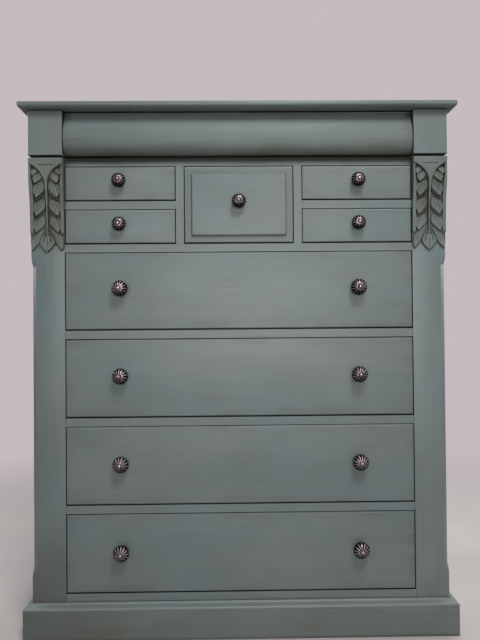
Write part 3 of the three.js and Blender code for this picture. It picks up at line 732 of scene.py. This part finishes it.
    # middle leaf of the foot: broad and pointed, with a sunk vein and two side folds
    tt0, tt1 = 181.0, 231.2
    s = (T - tt0) / (tt1 - tt0)
    sc_ = np.clip(s, 0, 1)
    W = np.interp(sc_, [0, 0.12, 0.30, 0.50, 0.64, 0.80, 0.92, 1.0], [2.5, 8.0, 14.5, 19.0, 17.8, 11.0, 4.6, 0.0])
    edge = (W - A) * 0.8
    hh = -2.9 + 2.9 * sc_ ** 0.5 - 2.0 * (1 - np.sqrt(np.clip(1 - (1 - np.clip(edge / 3.2, 0, 1)) ** 2, 0, 1)))
    hh -= 1.5 * np.exp(-(U / 1.0) ** 2) * np.clip((s - 0.36) / 0.10, 0, 1) * np.clip((0.93 - s) / 0.15, 0, 1)
    line = np.interp(sc_, [0.0, 0.20, 0.66], [3.4, 6.4, 12.0])
    hh -= 2.6 * np.exp(-((A - line) / 1.5) ** 2) * np.clip((s - 0.04) / 0.06, 0, 1) * np.clip((0.66 - s) / 0.20, 0, 1)
    line2 = np.interp(sc_, [0.2, 0.62], [9.0, 16.6])
    hh -= 1.1 * np.exp(-((A - line2) / 1.2) ** 2) * np.clip((s - 0.18) / 0.08, 0, 1) * np.clip((0.62 - s) / 0.14, 0, 1)
    rel = np.where((s > 0) & (s < 1) & (A < W), np.maximum(rel, hh), rel)
    # drilled pits either side of the stem's end
    pit = np.exp(-(((A - 3.6) / 1.9) ** 2 + ((T - 188.5) / 4.2) ** 2))
    rel = rel - 3.2 * pit

    # stem and the trumpet that it grows from
    half = np.interp(T, [0, 13.5, 15.3, 19, 23.8, 28, 32.3, 36, 39.9, 45, 51, 57.7, 75, 120, 170, 186, 194],
                     [60, 48, 38.8, 31.5, 24.4, 19.2, 15.2, 12.5, 10.4, 7.8, 5.5, 3.9, 2.7, 2.1, 1.9, 1.8, 0.4])
    ok = (A < half) & (T < 194)
    edge = np.clip(half - A, 0, None)
    roll = 1.9 * (1 - np.sqrt(np.clip(1 - (1 - np.clip(edge / 2.6, 0, 1)) ** 2, 0, 1)))
    lvl = np.interp(T, [0, 45, 60, 120, 194], [0.0, 0.0, -0.4, -0.5, -0.7])
    hh = lvl - roll
    # short ledge under the top band and faint flutes in the throat
    hh -= 2.0 * np.exp(-((T - 17.4) / 1.3) ** 2) * np.clip((19.5 - A) / 3.0, 0, 1)
    hh -= 0.8 * np.clip((T - 18.5) / 2.5, 0, 1) * np.clip((18 - A) / 4.0, 0, 1) * np.clip((50 - T) / 12, 0, 1)
    hh -= 0.6 * (0.5 + 0.5 * np.cos(U * 2 * np.pi / 5.0)) * np.clip((T - 22) / 4, 0, 1) * np.clip((48 - T) / 8, 0, 1) * np.clip((half - 2.0 - A) / 2, 0, 1)
    # a second, parallel cut inside the trumpet's rim
    hh -= 0.7 * np.exp(-((half - A - 4.2) / 0.9) ** 2) * np.clip((T - 21) / 3, 0, 1) * np.clip((62 - T) / 14, 0, 1) * (half > 6.5)
    rel = np.where(ok, np.maximum(rel, hh), rel)
    # V cut down both sides of the stem
    rel -= 1.0 * np.exp(-((A - half - 0.8) / 0.85) ** 2) * np.clip((T - 40) / 12, 0, 1) * np.clip((186 - T) / 8, 0, 1)

    def blur(a, n):
        for _ in range(n):
            p = np.pad(a, 1, mode="edge")
            a = (p[:-2, 1:-1] + p[2:, 1:-1] + p[1:-1, :-2] + p[1:-1, 2:] + 4 * p[1:-1, 1:-1]) / 8
        return a
    # chisel facets: nothing on a hand-cut corbel is quite even
    wob = rng.normal(0, 1, rel.shape)
    wob = blur(wob, 40)
    wob /= wob.std()
    rel = blur(rel, 1) + 0.10 * wob

    # foot outline: three leaf tips, cut through to the post
    foot_u = np.array([0, 4.4, 10.8, 16.6, 19.6, 24.0, 29.5, 34.2, 37.2, 39.8, 41.6, 43.0])
    foot_t = np.array([231.2, 227.6, 221.4, 212.0, 206.6, 212.4, 219.0, 224.6, 227.6, 222.6, 214.0, 204.0])
    edge_t = np.interp(A, foot_u, foot_t)
    outside = np.clip((T - edge_t) / 0.7, 0, 1)
    h = np.maximum(env + rel, 1.0)
    cav = blur(h, 12) - h
    cav2 = blur(h, 60) - h
    # darker in the hollows (cav, cav2) as glaze, and the deeper the ground is cut (sunk) the darker: painted shade
    sunk = np.clip(-rel / 7.0, 0, 1) ** 1.25
    cavity_and_shade = np.clip(cav / 1.1, 0, 1) * 0.70 + np.clip(cav2 / 3.0, 0, 1) * 0.40 + 0.78 * sunk
    h = h * (1 - outside) + (-0.6) * outside
    # painted shadow: a dark band just inside the foot's outline, where the foot meets the post
    cavity_and_shade = np.maximum(cavity_and_shade, np.clip(1 - (edge_t - T) / 1.6, 0, 1) * 0.9 * (T > 190))
    cavity_and_shade = 0.10 + 0.90 * np.clip(cavity_and_shade, 0, 1)
    return us, ts, h, cavity_and_shade


us, ts, H, CAV = corbel_height()


def corbel(word, xc):
    nu, nt = len(us), len(ts)
    verts, cav = [], []
    zt = 1185.5
    for j in range(nt):
        for i in range(nu):
            verts.append(((xc + us[i]) * MM, (-210 - H[j, i]) * MM, (zt - ts[j]) * MM))
            cav.append(CAV[j, i])
    faces = []
    for j in range(nt - 1):
        for i in range(nu - 1):
            a = j * nu + i
            faces.append((a, a + 1, a + nu + 1, a + nu))
    # walls and back
    border = [(0, i) for i in range(nu)] + [(j, nu - 1) for j in range(1, nt)] + [(nt - 1, i) for i in range(nu - 2, -1, -1)] + [(j, 0) for j in range(nt - 2, 0, -1)]
    base = len(verts)
    for j, i in border:
        verts.append(((xc + us[i]) * MM, -208.5 * MM, (zt - ts[j]) * MM))
        cav.append(0.5)
    n = len(border)
    for k in range(n):
        a = border[k][0] * nu + border[k][1]
        b = border[(k + 1) % n][0] * nu + border[(k + 1) % n][1]
        faces.append((a, b, base + (k + 1) % n, base + k))
    faces.append(tuple(base + k for k in range(n)))
    o = make("corbel_" + word + "_carved", verts, faces, PAINT_CARVED, angle=60, attrs={"cavity_and_shade": cav})
    settle(o, "carcass", "carved_paint", "corbel_" + word)


corbel("left", -(BODY + POST_IN) / 2)
corbel("right", (BODY + POST_IN) / 2)


# ------------------------------------------------------------------ knobs: fluted domes on a neck and back flange
def knob_mesh():
    """Unit knob, radius 20.4: returns vertices (x, out, z) in mm, faces and how dark each point is: flute depth, and
    the dark back and neck.
    """
    prof = [(0.0, 34.6), (1.6, 34.5), (3.0, 33.9), (4.2, 32.9), (4.9, 31.6), (5.2, 30.6), (5.6, 30.2), (6.2, 30.4), (7.2, 30.5), (8.8, 30.2), (10.6, 29.5), (12.6, 28.4),
            (14.6, 26.9), (16.5, 25.0), (18.0, 23.0), (19.2, 20.8), (19.9, 18.8), (20.2, 17.0), (19.8, 15.2), (18.4, 13.8), (16.2, 12.9), (13.6, 12.3), (10.8, 11.6), (8.8, 10.4),
            (7.8, 9.0), (7.4, 7.6), (7.6, 6.3), (8.6, 5.3), (10.4, 4.7), (12.0, 4.2), (13.2, 3.4), (13.7, 2.3), (13.6, 1.1), (13.2, 0.2), (0.0, 0.2)]
    dense = smooth_curve(prof[:-1], 2) + [prof[-1]]
    lobes, per = 14, 14
    n = lobes * per
    verts, groove_and_shade, faces = [], [], []
    rings = []
    for (r, y) in dense:
        if r < 1e-6:
            verts.append((0.0, y, 0.0)); groove_and_shade.append(0.0 if y > 10 else 0.6)
            rings.append([len(verts) - 1]); continue
        dome = y > 11.4
        amp = 0.0
        if dome and r > 6.0:
            amp = np.interp(r, [7.0, 8.6, 10.6, 14, 17.5, 19.6, 20.3], [0.0, 0.5, 1.8, 3.0, 2.8, 1.5, 1.0]) * (1.0 if y > 15 else float(np.interp(y, [11.4, 13, 15], [0.0, 0.6, 1.0])))
        row = []
        for k in range(n):
            th = 2 * math.pi * k / n
            ph = abs(math.sin(lobes * th / 2))          # 0 in the groove, 1 on the ridge
            cut = max(0.0, 1 - (ph / 0.84) ** 1.6)
            rr = r - amp * cut * (0.9 if y < 24 else 0.25)
            yy = y - amp * cut * (0.2 if y < 24 else 1.0)
            verts.append((rr * math.cos(th), yy, rr * math.sin(th)))
            g = 0.0
            if dome and r > 7.0:
                g = min(1.0, cut * 3.2) * min(1.0, amp / 0.9)
            if y < 22.5:
                g = max(g, float(np.interp(y, [17.5, 22.5], [0.95, 0.0])))
            if 4.9 < r < 6.9 and y > 29:
                g = max(g, 0.85)
            if y < 12.6:
                g = max(g, 0.45 if r > 9 else 0.7)
            groove_and_shade.append(g)
            row.append(len(verts) - 1)
        rings.append(row)
    for a, b in zip(rings, rings[1:]):
        if len(a) == 1 and len(b) == 1:
            continue
        if len(a) == 1:
            for k in range(len(b)):
                faces.append((a[0], b[k], b[(k + 1) % len(b)]))
        elif len(b) == 1:
            for k in range(len(a)):
                faces.append((a[k], b[0], a[(k + 1) % len(a)]))
        else:
            for k in range(len(a)):
                j = (k + 1) % len(a)
                faces.append((a[k], b[k], b[j], a[j]))
    return verts, faces, groove_and_shade


KV, KF, KG = knob_mesh()


def screw_mesh(r, through):
    """Shank through the drawer front and slotted round head inside, as a turned profile (r, out)."""
    prof = [(0.0, 1.0), (2.1, 1.0), (2.1, -through), (4.7, -through - 0.1), (4.7, -through - 1.1), (4.2, -through - 2.0), (3.0, -through - 2.7), (1.4, -through - 3.0), (0.0, -through - 3.05)]
    n = 24
    verts, faces, rings = [], [], []
    for rr, y in prof:
        if rr < 1e-6:
            verts.append((0, y, 0)); rings.append([len(verts) - 1])
        else:
            row = []
            for k in range(n):
                th = 2 * math.pi * k / n
                verts.append((rr * math.cos(th), y, rr * math.sin(th))); row.append(len(verts) - 1)
            rings.append(row)
    for a, b in zip(rings, rings[1:]):
        for k in range(n):
            j = (k + 1) % n
            if len(a) == 1:
                faces.append((a[0], b[k], b[j]))
            elif len(b) == 1:
                faces.append((a[k], b[0], a[j]))
            else:
                faces.append((a[k], b[k], b[j], a[j]))
    return verts, faces


def knob(node, body, spin, tilt=(0.0, 0.0)):
    lo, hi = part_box(node)
    cx, cz = (lo.x + hi.x) / 2, (lo.z + hi.z) / 2
    r = (hi.z - lo.z) / 2 / MM
    k = r / 20.4
    kr = k * (1.04 if r < 19 else 1.0)
    # the drawer face is where the back flange stands: the CAD knob's front is 33.5 k in front of it
    face = lo.y / MM + 33.5 * k
    through = hi.y / MM - face - 3.1
    verts, faces, groove_and_shade = [], [], []
    c, s = math.cos(spin), math.sin(spin)
    for (x, y, z), gr in zip(KV, KG):
        xx, zz = x * c - z * s, x * s + z * c
        yy = y
        # painted shade: the lower half of the knob is painted darker, as light falls from above
        groove_and_shade.append(min(1.0, gr + 0.40 * min(1.0, max(0.0, (-zz - 0.5) / 13.0))))
        # cast knobs never sit quite square
        xx += tilt[0] * yy; zz += tilt[1] * yy
        verts.append((cx + xx * kr * MM, (face - yy * k) * MM, cz + zz * kr * MM))
    faces += list(KF)
    base = len(verts)
    sv, sf = screw_mesh(r, through)
    for x, y, z in sv:
        verts.append((cx + x * MM, (face - y) * MM, cz + z * MM)); groove_and_shade.append(0.35)
    faces += [tuple(i + base for i in q) for q in sf]
    o = make(node + "_fluted", verts, faces, KNOB, angle=50, attrs={"groove_and_shade": groove_and_shade})
    settle(o, body, "knob_metal", node)


# ------------------------------------------------------------------ drawers
def taper_prism(bm, x0, x1, y0, y1, z0, z1, flare):
    """Dovetail socket: wider at y0 (front) than at y1, mm in, metres out."""
    pts = [(x0, y0, z0 - flare), (x0, y0, z1 + flare), (x0, y1, z1), (x0, y1, z0),
           (x1, y0, z0 - flare), (x1, y0, z1 + flare), (x1, y1, z1), (x1, y1, z0)]
    vs = [bm.verts.new((a * MM, b * MM, c * MM)) for a, b, c in pts]
    for q in ((0, 1, 2, 3), (7, 6, 5, 4), (0, 4, 5, 1), (1, 5, 6, 2), (2, 6, 7, 3), (3, 7, 4, 0)):
        bm.faces.new([vs[i] for i in q])
    return vs


def tail_layout(z0, z1, n):
    """Tails along a height: list of (low, high) at their roots."""
    pin = 9.0
    room = (z1 - z0) - (n + 1) * pin
    t = room / n
    return [(z0 + pin + k * (t + pin), z0 + pin + k * (t + pin) + t) for k in range(n)]


def drawer_box(name, body, x0, x1, z0, z1, front_obj, n_tails, y_in=-188.0, y_back=205.0):
    """Separate dovetailed sides, back and let-in bottom. x0..z1 are the box's outside, in mm."""
    wall, flare = 12.0, 2.2
    tails = tail_layout(z0, z1, n_tails)
    # sockets in the drawer front
    bm = bmesh.new()
    for (a, b) in tails:
        taper_prism(bm, x0 - 3, x0 + wall, y_in - 14.2, y_in + 2, a, b, flare)
        taper_prism(bm, x1 - wall, x1 + 3, y_in - 14.2, y_in + 2, a, b, flare)
    bmesh.ops.recalc_face_normals(bm, faces=bm.faces)
    me = bpy.data.meshes.new("tool")
    bm.to_mesh(me); bm.free()
    tool = bpy.data.objects.new("tool", me)
    sc.collection.objects.link(tool)
    difference(front_obj, tool)
    front_obj.data.shade_smooth()
    front_obj.data.set_sharp_from_angle(angle=math.radians(32))
    # sides, with tails at both ends
    for word, a, b in (("left", x0, x0 + wall), ("right", x1 - wall, x1)):
        out = [(y_in + 0.3, z0)]
        for (p, q) in tails:
            out += [(y_in + 0.3, p), (y_in - 14.0, p - flare + 0.15), (y_in - 14.0, q + flare - 0.15), (y_in + 0.3, q)]
        out += [(y_in + 0.3, z1)]
        out += [(y_back - wall, z1)]
        for (p, q) in reversed(tails):
            out += [(y_back - wall, q), (y_back, q + flare - 0.15), (y_back, p - flare + 0.15), (y_back - wall, p)]
        out += [(y_back - wall, z0)]
        rings = [[(x * MM, y * MM, z * MM) for y, z in out] for x in (a, b)]
        v, f = loft_data(rings)
        o = make(f"{name}_side_{word}", v, f, PINE_Y)
        settle(o, body, "drawer_wood")
        bev = o.modifiers.new("arris", "BEVEL")
        bev.width = 0.35 * MM; bev.segments = 1; bev.limit_method = "ANGLE"; bev.angle_limit = math.radians(50)
    # back, with sockets at both ends; stands on the bottom board
    zb = z0 + 14.2
    back = soft_box(f"{name}_back", (x0 + 0.2) * MM, (x1 - 0.2) * MM, (y_back - wall + 0.1) * MM, (y_back - 0.2) * MM, zb * MM, (z1 - 3) * MM, PINE_X, r=0.0)
    bm = bmesh.new()
    for (a, b) in tails:
        for xa, xb in ((x0 - 3, x0 + wall + 0.1), (x1 - wall - 0.1, x1 + 3)):
            pts = [(xa, y_back - wall - 2, a - 0.3), (xa, y_back - wall - 2, b + 0.3), (xa, y_back + 2, b + flare + 0.2), (xa, y_back + 2, a - flare - 0.2),
                   (xb, y_back - wall - 2, a - 0.3), (xb, y_back - wall - 2, b + 0.3), (xb, y_back + 2, b + flare + 0.2), (xb, y_back + 2, a - flare - 0.2)]
            vs = [bm.verts.new((p * MM, q * MM, r * MM)) for p, q, r in pts]
            for q in ((0, 1, 2, 3), (7, 6, 5, 4), (0, 4, 5, 1), (1, 5, 6, 2), (2, 6, 7, 3), (3, 7, 4, 0)):
                bm.faces.new([vs[i] for i in q])
    bmesh.ops.recalc_face_normals(bm, faces=bm.faces)
    me = bpy.data.meshes.new("tool")
    bm.to_mesh(me); bm.free()
    tool = bpy.data.objects.new("tool", me)
    sc.collection.objects.link(tool)
    difference(back, tool)
    settle(back, body, "drawer_wood")
    # bottom boards, let into the sides, with a seam every 130 mm or so
    yb0, yb1 = y_in + 0.4, y_back - 0.3
    nb = 3
    verts, faces = [], []
    for k in range(nb):
        a = yb0 + (yb1 - yb0) * k / nb + (0.25 if k else 0)
        b = yb0 + (yb1 - yb0) * (k + 1) / nb - (0.25 if k < nb - 1 else 0)
        c = 0.6
        sec = [(a, z0 + 7), (b, z0 + 7), (b, z0 + 14 - c), (b - c, z0 + 14), (a + c, z0 + 14), (a, z0 + 14 - c)]
        rings = [[(x * MM, y * MM, z * MM) for y, z in sec] for x in (x0 + wall - 4, x1 - wall + 4)]
        vv, ff = loft_data(rings)
        base = len(verts)
        verts += vv
        faces += [tuple(i + base for i in q) for q in ff]
    bottom = make(f"{name}_bottom", verts, faces, PINE_BOTTOM)
    settle(bottom, body, "drawer_wood")
    # quarter-round slips glued in the corners along the sides
    verts, faces = [], []
    for xa, sg in ((x0 + wall, 1), (x1 - wall, -1)):
        sec = [(0, 0)] + [(8.0 * math.cos(t), 8.0 * math.sin(t)) for t in np.linspace(0, math.pi / 2, 7)]
        rings = [[((xa + sg * (p + 0.05)) * MM, y * MM, (z0 + 14.05 + q) * MM) for p, q in sec] for y in (y_in + 1.0, y_back - wall - 0.5)]
        vv, ff = loft_data(rings)
        base = len(verts)
        verts += vv
        faces += [tuple(i + base for i in q) for q in ff]
    slips = make(f"{name}_slips", verts, faces, PINE_Y)
    settle(slips, body, "drawer_wood", )
    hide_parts(f"{name}_box")
    return bottom


def edge_steps(y_in, face, r=2.4, n=5):
    """Board face with rounded arrises: (inset, y) rings from the back to the face."""
    steps = [(0.35, y_in), (0.0, y_in - 0.35)]
    for k in range(n + 1):
        a = math.pi / 2 * k / n
        steps.append((r * (1 - math.cos(a)), face + r * (1 - math.sin(a))))
    return steps


specs = [("small_upper_left", 2), ("small_lower_left", 2), ("centre", 4), ("small_upper_right", 2), ("small_lower_right", 2),
         ("long_1", 4), ("long_2", 4), ("long_3", 4), ("long_4", 4)]
for name, tails in specs:
    body = "drawer_" + name
    lo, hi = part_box(name + "_front")
    x0, x1, z0, z1 = (round(v / MM, 3) for v in (lo.x, hi.x, lo.z, hi.z))
    if name == "centre":
        steps = edge_steps(-188, -210, 1.8)
        b = 18.0
        steps += [(b - 2.2, -210.0), (b - 0.9, -210.25), (b - 0.2, -210.9), (b, -211.8), (b + 0.1, -213.6)]
        steps += [(b + 0.3 + 2.0 * (1 - math.cos(a)), -214.0 - 2.0 * math.sin(a)) for a in np.linspace(0.1, math.pi / 2, 6)]
    else:
        steps = edge_steps(-188, -210, 1.6)
    front = faced_board(name + "_front_board", x0, x1, z0, z1, steps, FRONT_FIELD if name == "centre" else FRONT, angle=35)
    # no holes are cut for the knob screws; they would stay hidden under the flanges
    lo2, hi2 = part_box(name + "_box")
    bx0, bx1, bz0, bz1 = (round(v / MM, 3) for v in (lo2.x, hi2.x, lo2.z, hi2.z))
    drawer_box(name, body, bx0, bx1, bz0, bz1, front, tails)
    edge_attributes(front, x0, x1, z0, z1)
    settle(front, body, "paint", name + "_front")
    if name.startswith("long"):
        knob(f"knob_{name}_left", body, rng.uniform(0, 0.39), (rng.uniform(-0.02, 0.02), rng.uniform(-0.02, 0.02)))
        knob(f"knob_{name}_right", body, rng.uniform(0, 0.39), (rng.uniform(-0.02, 0.02), rng.uniform(-0.02, 0.02)))
    else:
        knob(f"knob_{name}", body, rng.uniform(0, 0.39), (rng.uniform(-0.02, 0.02), rng.uniform(-0.02, 0.02)))

# frieze drawer: swelling front
lo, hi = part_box("frieze_drawer_front")
x0, x1, z0, z1 = (round(v / MM, 3) for v in (lo.x, hi.x, lo.z, hi.z))
swell = smooth_curve([(5.2, z1 - 0.3), (6.3, z1 - 1.4), (6.9, 1294), (8.2, 1287), (10.2, 1279.5), (12.6, 1272), (15.2, 1264), (17.6, 1256), (19.2, 1248), (19.9, 1240),
                      (19.7, 1232), (18.9, 1224), (17.4, 1216), (15.0, 1208.5), (11.6, 1202), (8.0, 1197.4), (4.4, 1194.6), (1.0, z0 + 0.9), (-1.2, z0 + 0.1)], 4)
sec = [(-188.35, z0), (-188.0, z0 + 0.35), (-188.0, z1 - 0.35), (-188.35, z1), (-213.5, z1)] + [(-210 - p, z) for p, z in swell] + [(-207.5, z0)]
rings = []
for x, s in ((x0, 0.8), (x0 + 0.25, 0.25), (x0 + 0.8, 0.0), (x1 - 0.8, 0.0), (x1 - 0.25, 0.25), (x1, 0.8)):
    cy, cz = -200.0, (z0 + z1) / 2
    ring = []
    for y, z in sec:
        yy = y + (s if y < -205 else 0.0)
        zz = z + (s if z < z0 + 1 else 0) - (s if z > z1 - 1 else 0)
        ring.append((x * MM, yy * MM, zz * MM))
    rings.append(ring)
v, f = loft_data(rings)
# glaze and painted shade: the swell's lower slope is painted darker, and a long occlusion reach paints the top board's
# shadow across its upper part
FRIEZE = paint_material("frieze_paint_and_bare", "X", wash=0.45, over=("Y", -0.1955, -0.1925), wood_grain="X", rough=0.56, ao_dist=0.024, edges=True, shade=("Z", 1.236, 1.193, 0.56), spec=0.20)
front = make("frieze_drawer_front_swelled", v, f, FRIEZE, angle=40)
lo2, hi2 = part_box("frieze_drawer_box")
bx0, bx1, bz0, bz1 = (round(v / MM, 3) for v in (lo2.x, hi2.x, lo2.z, hi2.z))
drawer_box("frieze_drawer", "drawer_frieze", bx0, bx1, bz0, bz1, front, 2)
edge_attributes(front, x0, x1, z0, z1)
settle(front, "drawer_frieze", "paint", "frieze_drawer_front")

# ------------------------------------------------------------------ floor, light, background
bm = bmesh.new()
bmesh.ops.create_circle(bm, cap_ends=True, segments=96, radius=3.2)
me = bpy.data.meshes.new("floor")
bm.to_mesh(me); bm.free()
floor = bpy.data.objects.new("floor", me)
sc.collection.objects.link(floor)
floor.location = (0, 0, -0.0005)
g = Graph("floor_pale")
g.set(Base_Color=g.mix(g.remap(g.noise(g.mapping(scale=(3, 3, 3)), 1.0, 4.0, 0.6), 0.3, 0.7), (0.54, 0.51, 0.51), (0.58, 0.545, 0.545)))
g.set(Roughness=0.8)
ln = g.t.nodes.new("ShaderNodeVectorMath")
ln.operation = "LENGTH"
g.t.links.new(g.coord, ln.inputs[0])
g.set(Alpha=g.remap(ln.outputs["Value"], 2.2, 0.75))
me.materials.append(g.m)


def area(name, loc, target, size, size_y, power, colour, spread=180):
    d = bpy.data.lights.new(name, "AREA")
    d.shape = "RECTANGLE"
    d.size, d.size_y = size, size_y
    d.energy = power
    d.color = colour
    d.spread = math.radians(spread)
    o = bpy.data.objects.new(name, d)
    sc.collection.objects.link(o)
    o.location = loc
    o.rotation_euler = (Vector(target) - Vector(loc)).to_track_quat("-Z", "Y").to_euler()
    return o


area("ceiling", (0.45, -1.60, 2.80), (0.03, -0.2, 0.80), 0.75, 0.70, 37.0, (1.0, 0.975, 0.95))
area("front_high", (0.02, -1.75, 1.15), (0.04, -0.2, 0.98), 1.4, 0.8, 0.82, (1.0, 0.985, 0.98), 110)
area("front_low", (0.06, -1.75, 0.85), (0.05, -0.2, 0.70), 1.4, 0.6, 2.85, (1.0, 0.985, 0.98), 90)
area("front_top", (0.10, -1.75, 1.27), (0.04, -0.2, 1.285), 1.4, 0.25, 0.13, (1.0, 0.985, 0.98), 36)
area("left", (-2.4, -1.7, 1.5), (0, -0.1, 0.9), 1.2, 1.2, 1.55, (0.97, 0.99, 1.0), 110)
area("right", (2.4, -1.5, 0.9), (0, -0.1, 0.8), 1.2, 1.2, 1.15, (0.98, 0.99, 1.0), 110)
# these three stand beside and behind the chest: they reach only its sides and back
area("side_left", (-2.3, 0.45, 1.7), (-0.5, 0.05, 0.7), 1.3, 1.3, 13.0, (1.0, 0.985, 0.97), 120)
area("side_right", (2.3, 0.45, 1.7), (0.5, 0.05, 0.7), 1.3, 1.3, 13.0, (1.0, 0.985, 0.97), 120)
area("back", (0.5, 2.5, 1.9), (0.0, 0.25, 0.7), 1.4, 1.4, 17.0, (1.0, 0.985, 0.97), 120)

world = bpy.data.worlds.new("studio")
sc.world = world
world.use_nodes = True
wt = world.node_tree
wt.nodes.clear()
wo = wt.nodes.new("ShaderNodeOutputWorld")


def background(colour, strength):
    n = wt.nodes.new("ShaderNodeBackground")
    n.inputs["Color"].default_value = (*colour, 1)
    n.inputs["Strength"].default_value = strength
    return n.outputs[0]


path = wt.nodes.new("ShaderNodeLightPath")


def choose(fac, a, b):
    n = wt.nodes.new("ShaderNodeMixShader")
    wt.links.new(fac, n.inputs[0])
    wt.links.new(a, n.inputs[1])
    wt.links.new(b, n.inputs[2])
    return n.outputs[0]


room = choose(path.outputs["Is Glossy Ray"], background((0.93, 0.97, 1.0), 0.04), background((0.80, 0.78, 0.82), 0.13))
wt.links.new(choose(path.outputs["Is Camera Ray"], room, background((0.56, 0.50, 0.52), 1.0)), wo.inputs[0])

sc.view_settings.view_transform = "Standard"
sc.view_settings.look = "None"
sc.view_settings.exposure = 0.0
sc.view_settings.gamma = 1.0
